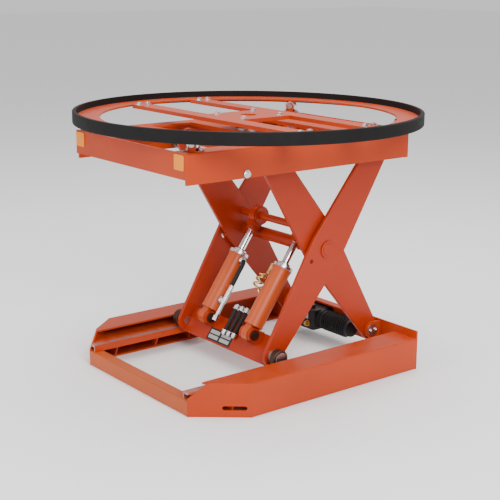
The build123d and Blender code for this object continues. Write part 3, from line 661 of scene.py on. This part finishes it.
class POSITIONER_OT_table(bpy.types.Operator):
    """Paint the table frame and finish the parts that carry the ring."""
    bl_idname = "positioner.table"
    bl_label = "Finish table"

    def execute(self, context):
        coat_nodes(("table_side_right", "table_side_left", "table_ends", "table_straps",
                    "table_hinge_brackets", "support_brackets"), "frame")
        coat_nodes(("upper_tracks",), "track")
        coat_nodes(("kingpin", "table_hinge_pins", "support_axles"), "steel")
        coat_nodes(("corner_markers",), "marker")
        coat_nodes(["support_roller_%d" % k for k in range(1, 5)], "bright")
        return {"FINISHED"}


class POSITIONER_OT_ring(bpy.types.Operator):
    """Finish the ring: dark rim, orange flange, bars and hub."""
    bl_idname = "positioner.ring"
    bl_label = "Finish ring"

    def execute(self, context):
        coat_nodes(("ring_rim",), "rim")
        coat_nodes(("ring_flange", "ring_bars", "ring_hub"), "frame")
        return {"FINISHED"}


class POSITIONER_OT_cylinders(bpy.types.Operator):
    """Finish the barrels, glands, rods and their fittings."""
    bl_idname = "positioner.cylinders"
    bl_label = "Finish cylinders"

    def execute(self, context):
        coat_nodes(("barrel_right", "barrel_left"), "barrels")
        coat_nodes(("gland_right", "gland_left", "elbow_left"), "bright")
        coat_nodes(("rod_right", "rod_left"), "chrome")
        coat_nodes(("rod_eye_right", "rod_eye_left"), "legs")
        coat_nodes(("elbow_right",), "brass")
        coat_nodes(("hose_left",), "rubber")
        return {"FINISHED"}


class POSITIONER_OT_bolts(bpy.types.Operator):
    """Bolt the brackets, the hub plate, the pin keepers and the skirt."""
    bl_idname = "positioner.bolts"
    bl_label = "Add bolts"

    def execute(self, context):
        detail = settings("detail")
        up = Vector((0, 0, 1))
        size = {"Radius": detail.bolt_radius, "Height": detail.bolt_height}
        small = {"Radius": detail.bolt_radius * 0.55, "Height": detail.bolt_height * 0.6}

        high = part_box("ring_hub")[1]
        plate_x, plate_y, top = high.x - 0.022, high.y - 0.022, high.z
        hub = [(Vector((sx * plate_x, sy * plate_y, top)), up) for sx in (-1, 1) for sy in (-1, 1)]
        bar_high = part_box("ring_bars")[1]
        bar_middle = (bar_high.x + high.x) / 2
        bar_end = (bar_high.y - 0.024) * 0.965
        for sx in (-1, 1):
            for sy in (-1, 1):
                for shift in (-0.017, 0.017):
                    hub.append((Vector((sx * (bar_middle + shift), sy * bar_end, top)), up))
        grow("hub_bolts", points_mesh("hub_bolts", hub), "bolts", "ring", "bare_steel", "bright",
             **size)

        for node, pin in (("base_hinge_pins", BASE_PIN), ("table_hinge_pins", TABLE_PIN)):
            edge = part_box(node)[1].y
            body = "base" if node == "base_hinge_pins" else "table"
            pins = [(Vector((pin.x + dx, side * edge, pin.z)), Vector((0, side, 0)))
                    for side in (-1, 1) for dx in (-0.011, 0.011)]
            grow(node + "_screws", points_mesh(node, pins), "bolts", body, "bare_steel", "bright",
                 **small)

        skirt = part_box("table_side_right")
        bolt = [(Vector((-0.238, skirt[0].y, skirt[0].z + 0.012)), Vector((0, -1, 0)))]
        grow("skirt_bolt", points_mesh("skirt_bolt", bolt), "bolts", "table", "bare_steel", "bright",
             **size)

        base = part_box("table_straps")[1].z + 0.003
        feet = []
        for joint in range(1, 5):
            wheel = JOINTS["support_wheel_%d_axle" % joint]
            middle, axis = Vector(wheel["pos_m"]), Vector(wheel["axis"])
            across = up.cross(axis)
            for s in (-1, 1):
                spot = middle + across * s * 0.0185
                feet.append((Vector((spot.x, spot.y, base)), up))
        grow("bracket_bolts", points_mesh("feet", feet), "bolts", "table", "bare_steel", "steel", **small)
        return {"FINISHED"}


class POSITIONER_OT_welds(bpy.types.Operator):
    """Run weld beads along the joints of plates, tubes and lugs."""
    bl_idname = "positioner.welds"
    bl_label = "Add welds"

    def lines(self, name, body, runs):
        """One piece of weld for a body, from straight runs."""
        places, edges = [], []
        for start, end in runs:
            edges.append((len(places), len(places) + 1))
            places += [(Vector(start), Vector((0, 0, 1))), (Vector(end), Vector((0, 0, 1)))]
        mesh = points_mesh(name, places, edges)
        grow(name, mesh, "welds", body, "orange_paint", "weld", Radius=settings("detail").weld_radius)

    def circle(self, centre, radius, axis_y):
        """A closed run round a tube whose axis lies along Y."""
        steps = 24
        spots = [Vector((centre.x + radius * math.cos(2 * math.pi * k / steps), axis_y,
                         centre.z + radius * math.sin(2 * math.pi * k / steps))) for k in range(steps + 1)]
        return list(zip(spots, spots[1:]))

    def execute(self, context):
        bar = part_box("front_bar")
        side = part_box("base_side_left")
        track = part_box("lower_tracks")
        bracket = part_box("base_hinge_brackets")
        rear, top, outer = side[1].x, side[1].z, side[1].y - 0.006
        runs = []
        for s in (-1, 1):
            runs.append(((bar[0].x + 0.006, s * bar[1].y, bar[1].z), (bar[1].x, s * bar[1].y, bar[1].z)))
            runs.append(((rear, s * side[0].y, top), (rear, s * outer, top)))
            runs.append(((rear, s * side[0].y, 0.006), (rear, s * outer, 0.006)))
            for y in (0.192, 0.204, 0.222, 0.232):
                runs.append(((bracket[1].x, s * y, 0.046), (bracket[1].x, s * y, 0.122)))
            runs.append(((-0.28, s * outer, track[1].z), (track[1].x, s * outer, track[1].z)))
        self.lines("base_welds", "base", runs)

        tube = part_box("inner_leg_tube")
        middle = (tube[0] + tube[1]) / 2
        radius = (tube[1].x - tube[0].x) / 2
        runs = self.circle(middle, radius, tube[1].y) + self.circle(middle, radius, tube[0].y)
        self.lines("tube_welds", "inner_legs", runs)

        plate_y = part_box("cross_plate")[1].y
        pivot_u = (BARREL_PIVOT - CENTRE).dot(OUTER_ALONG)
        top_v = (BARREL_PIVOT - CENTRE).dot(OUTER_ACROSS) - 0.031

        def run(y, below):
            """A straight run up the plate, from below the pivots to just above them."""
            ends = [CENTRE + OUTER_ALONG * (pivot_u + u) + OUTER_ACROSS * top_v for u in (-below, 0.022)]
            return [(point.x, y, point.z) for point in ends]

        runs = []
        for s in (-1, 1):
            runs += [run(s * y, 0.022) for y in (0.091, 0.101, 0.133, 0.143)]
            runs.append(run(s * plate_y, 0.070))
        self.lines("plate_welds", "outer_legs", runs)

        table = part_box("table_side_left")
        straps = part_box("table_straps")
        face, top, bottom = table[1].y - 0.008, table[1].z - 0.010, table[0].z
        runs = []
        for s in (-1, 1):
            runs.append(((table[0].x, s * face, bottom + 0.018), (table[0].x, s * face, top)))
            runs.append(((table[1].x, s * face, bottom), (table[1].x, s * face, top)))
            for x0, x1 in ((-0.29, -0.21), (-0.055, 0.055), (0.21, 0.29)):
                runs.append(((x0, s * straps[1].y, straps[0].z), (x1, s * straps[1].y, straps[0].z)))
        self.lines("table_welds", "table", runs)
        return {"FINISHED"}


class POSITIONER_OT_pipes(bpy.types.Operator):
    """Lay three short feed pipes with nuts side by side on the cross plate."""
    bl_idname = "positioner.pipes"
    bl_label = "Add feed pipes"

    def execute(self, context):
        detail = settings("detail")
        pivot_u = (BARREL_PIVOT - CENTRE).dot(OUTER_ALONG)
        pivot_v = (BARREL_PIVOT - CENTRE).dot(OUTER_ACROSS)
        foot = CENTRE + OUTER_ALONG * (pivot_u - 0.018) + OUTER_ACROSS * (pivot_v - 0.022)
        rows = [(Vector((foot.x, y, foot.z)), OUTER_ALONG) for y in (-0.030, -0.004, 0.022)]
        grow("feed_pipes", points_mesh("pipes", rows), "pipes", "outer_legs", "black_rubber", "rubber",
             Radius=detail.pipe_radius, Length=0.078)
        nuts = [(place, -facing) for place, facing in rows]
        nuts += [(place + OUTER_ALONG * 0.078, facing) for place, facing in rows]
        grow("feed_pipe_nuts", points_mesh("nuts", nuts), "bolts", "outer_legs", "bare_steel", "bright",
             Radius=0.0098, Height=0.011)
        return {"FINISHED"}


class POSITIONER_OT_label(bpy.types.Operator):
    """Put a blank label plate on the cross plate."""
    bl_idname = "positioner.label"
    bl_label = "Add blank label"

    def execute(self, context):
        wide, tall = settings("detail").label_size
        pivot_u = (BARREL_PIVOT - CENTRE).dot(OUTER_ALONG)
        top_v = (BARREL_PIVOT - CENTRE).dot(OUTER_ACROSS) - 0.031
        corner = CENTRE + OUTER_ALONG * (pivot_u - 0.066) + OUTER_ACROSS * top_v + Vector((0, -0.022, 0))
        thick = 0.0012
        y, u, v = Vector((0, 1, 0)), OUTER_ALONG, OUTER_ACROSS
        plate = block(corner, y * wide, u * tall, v * thick)
        add_piece("label_plate", plate, "outer_legs", "label")
        panels = []
        for start, length in ((0.06, 0.40), (0.54, 0.40)):
            for row, height in ((0.14, 0.30), (0.56, 0.30)):
                panels.append(block(corner + y * wide * start + u * tall * row + v * thick,
                                    y * wide * length, u * tall * height, v * 0.0005))
        add_piece("label_panels", joined(panels, "label_panels"), "outer_legs", "panel")
        return {"FINISHED"}


class POSITIONER_OT_cylinder_details(bpy.types.Operator):
    """Add wiper seals, barrel bands, port nuts, the stand pipe and the brass coil."""
    bl_idname = "positioner.cylinder_details"
    bl_label = "Add cylinder details"

    def execute(self, context):
        for side, word in ((-1, "right"), (1, "left")):
            pivot = Vector((BARREL_PIVOT.x, side * abs(BARREL_PIVOT.y), BARREL_PIVOT.z))
            body = "cylinder_" + word
            seal = turned([(0.2520, 0.0128), (0.2520, 0.0170), (0.2545, 0.0160), (0.2545, 0.0128)],
                          pivot, BARREL_AXIS)
            add_piece("wiper_" + word, seal, body, "rubber")
            band = turned([(0.2265, 0.0310), (0.2265, 0.0322), (0.2335, 0.0322), (0.2335, 0.0310)],
                          pivot, BARREL_AXIS, 48)
            add_piece("barrel_band_" + word, band, body, "barrels")
            foot = turned([(0.0275, 0.0310), (0.0275, 0.0320), (0.0335, 0.0320), (0.0335, 0.0310)],
                          pivot, BARREL_AXIS, 48)
            add_piece("barrel_foot_" + word, foot, body, "barrels")
            ports = ((0.068, 0.035), (0.218, 0.035)) if side > 0 else ((0.210, 0.035),)
            inward = Vector((0, -side, 0))
            spots = [(pivot + BARREL_AXIS * along + inward * (reach - 0.001), inward)
                     for along, reach in ports]
            grow("port_nuts_" + word, points_mesh("ports", spots), "bolts", body,
                 "bare_steel" if side > 0 else "brass", "bright" if side > 0 else "brass",
                 Radius=0.0115, Height=0.006)
        pivot = Vector((BARREL_PIVOT.x, abs(BARREL_PIVOT.y) - 0.047, BARREL_PIVOT.z))
        ferrule = turned([(0.104, 0.0070), (0.104, 0.0086), (0.124, 0.0082), (0.126, 0.0070)],
                         pivot, BARREL_AXIS, 28)
        add_piece("hose_ferrule", ferrule, "cylinder_left", "bright")
        stand_pipe = turned([(-0.004, 0.0040), (-0.004, 0.0105), (0.012, 0.0105), (0.013, 0.0068),
                             (0.060, 0.0068), (0.060, 0.0040)], pivot, BARREL_AXIS, 28)
        add_piece("stand_pipe", stand_pipe, "cylinder_left", "bright")

        pivot = Vector((BARREL_PIVOT.x, -abs(BARREL_PIVOT.y), BARREL_PIVOT.z))
        outward, upward = Vector((0, 1, 0)), Vector((BARREL_AXIS.z, 0, -BARREL_AXIS.x))
        turns, steps = 2.5, 72
        middle = outward * 0.040 - upward * 0.030
        route = [(pivot + BARREL_AXIS * 0.198 + outward * 0.047, BARREL_AXIS)]
        for k in range(steps + 1):
            a = 2 * math.pi * turns * k / steps
            side_step = middle + (outward * math.cos(a) + upward * math.sin(a)) * 0.012
            route.append((pivot + BARREL_AXIS * (0.190 - 0.050 * k / steps) + side_step, BARREL_AXIS))
        route.append((pivot + BARREL_AXIS * 0.130 + middle * 0.60, BARREL_AXIS))
        coil = points_mesh("coil", route, [(k, k + 1) for k in range(len(route) - 1)])
        grow("brass_coil", coil, "tubes", "cylinder_right", "brass", "brass", Radius=0.0036)
        return {"FINISHED"}


class POSITIONER_OT_power_unit_details(bpy.types.Operator):
    """Add cooling fins, port fittings and a sight strip to the power unit."""
    bl_idname = "positioner.power_unit_details"
    bl_label = "Add power unit details"

    def execute(self, context):
        low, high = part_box("pump_motor")
        middle = (low + high) / 2
        radius = (high.z - low.z) / 2
        fins = [turned([(d, radius - 0.004), (d, radius + 0.0005), (d + 0.003, radius + 0.0005),
                        (d + 0.003, radius - 0.004)], (middle.x, low.y, middle.z), (0, 1, 0), 32)
                for d in [0.026 + 0.0095 * k for k in range(11)]]
        # Painted shade: the fins take the same black that stands in for the deep shade at the rear.
        add_piece("motor_fins", joined(fins, "motor_fins"), "base", "pump")
        tank_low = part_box("oil_tank")[0]
        spots = [(Vector((tank_low.x, tank_low.y + along, 0.066)), Vector((-1, 0, 0)))
                 for along in (0.03, 0.075, 0.12)]
        grow("tank_ports", points_mesh("tank_ports", spots), "bolts", "base", "brass", "brass",
             Radius=0.009, Height=0.010)
        band = block((tank_low.x - 0.0006, tank_low.y + 0.028, 0.082), (0, 0.094, 0), (0.0006, 0, 0),
                     (0, 0, 0.020))
        add_piece("tank_sight_strip", band, "base", "panel")
        return {"FINISHED"}


class POSITIONER_OT_stage(bpy.types.Operator):
    """Set the floor, the lights and the camera."""
    bl_idname = "positioner.stage"
    bl_label = "Set stage"

    def execute(self, context):
        stage = settings("stage")
        scene = bpy.context.scene
        half = 30.0
        floor_mesh = bpy.data.meshes.new("floor")
        floor_mesh.from_pydata([(-half, -half, 0), (half, -half, 0), (half, half, 0), (-half, half, 0)],
                               [], [(0, 1, 2, 3)])
        floor = bpy.data.objects.new("floor", floor_mesh)
        floor.location.z = -0.0005
        scene.collection.objects.link(floor)
        pale = bpy.data.materials.new("Floor white")
        pale.use_nodes = True
        shader = pale.node_tree.nodes["Principled BSDF"]
        shader.inputs["Base Color"].default_value = (0.93, 0.93, 0.93, 1)
        shader.inputs["Roughness"].default_value = 0.9
        shader.inputs["Specular IOR Level"].default_value = 0.1
        floor_mesh.materials.append(pale)

        world = bpy.data.worlds.new("Studio")
        world.use_nodes = True
        world.node_tree.nodes["Background"].inputs["Color"].default_value = (1, 1, 1, 1)
        world.node_tree.nodes["Background"].inputs["Strength"].default_value = stage.sky
        scene.world = world

        for name, place, power, size in (
                ("key", (-1.2, -4.2, 3.4), stage.key_power, 2.6),
                ("fill", (-4.2, 0.6, 2.2), stage.fill_power, 2.2),
                ("top", (0.6, 0.4, 4.2), stage.fill_power * 1.6, 2.4)):
            light = bpy.data.lights.new(name, "AREA")
            light.energy = power
            light.size = size
            lamp = bpy.data.objects.new(name, light)
            lamp.location = place
            aim = Vector((0, 0, 0.4)) - Vector(place)
            lamp.rotation_euler = aim.to_track_quat("-Z", "Y").to_euler()
            scene.collection.objects.link(lamp)

        lens = bpy.data.cameras.new("camera")
        lens.lens = stage.camera_lens
        lens.sensor_width = 36.0
        lens.shift_x, lens.shift_y = stage.camera_shift
        lens.clip_end = 200.0
        camera = bpy.data.objects.new("camera", lens)
        scene.collection.objects.link(camera)
        yaw, pitch, roll = stage.camera_yaw, stage.camera_pitch, stage.camera_roll
        flat = Vector((math.cos(yaw), math.sin(yaw), 0))
        right = Vector((math.sin(yaw), -math.cos(yaw), 0))
        forward = flat * math.cos(pitch) - Vector((0, 0, math.sin(pitch)))
        up = flat * math.sin(pitch) + Vector((0, 0, math.cos(pitch)))
        turned_right = right * math.cos(roll) + up * math.sin(roll)
        turned_up = up * math.cos(roll) - right * math.sin(roll)
        turn = Matrix((turned_right, turned_up, -forward)).transposed().to_4x4()
        camera.matrix_world = Matrix.Translation(stage.camera_place) @ turn
        scene.camera = camera
        return {"FINISHED"}


OPERATORS = (
    POSITIONER_OT_materials,
    POSITIONER_OT_floor_frame,
    POSITIONER_OT_legs,
    POSITIONER_OT_table,
    POSITIONER_OT_ring,
    POSITIONER_OT_cylinders,
    POSITIONER_OT_bolts,
    POSITIONER_OT_welds,
    POSITIONER_OT_pipes,
    POSITIONER_OT_label,
    POSITIONER_OT_cylinder_details,
    POSITIONER_OT_power_unit_details,
    POSITIONER_OT_stage,
)


class POSITIONER_PT_panel(bpy.types.Panel):
    """Buttons for each step and the settings they use."""
    bl_idname = "POSITIONER_PT_panel"
    bl_label = "Pallet positioner"
    bl_space_type = "VIEW_3D"
    bl_region_type = "UI"
    bl_category = "Positioner"

    def draw(self, context):
        for operator in OPERATORS:
            self.layout.operator(operator.bl_idname)
        for name, group in SETTINGS:
            box = self.layout.box()
            for key in group.__annotations__:
                box.prop(getattr(context.scene, name), key)


def register():
    """Makes the settings, operators and panel known."""
    for name, group in SETTINGS:
        bpy.utils.register_class(group)
        setattr(bpy.types.Scene, name, bpy.props.PointerProperty(type=group))
    for operator in OPERATORS:
        bpy.utils.register_class(operator)
    bpy.utils.register_class(POSITIONER_PT_panel)


def unregister():
    """Takes them away again."""
    bpy.utils.unregister_class(POSITIONER_PT_panel)
    for operator in reversed(OPERATORS):
        bpy.utils.unregister_class(operator)
    for name, group in reversed(SETTINGS):
        delattr(bpy.types.Scene, name)
        bpy.utils.unregister_class(group)


def main():
    """Builds the whole positioner."""
    register()
    for operator in OPERATORS:
        family, step = operator.bl_idname.split(".")
        getattr(getattr(bpy.ops, family), step)()


if __name__ == "__main__":
    main()
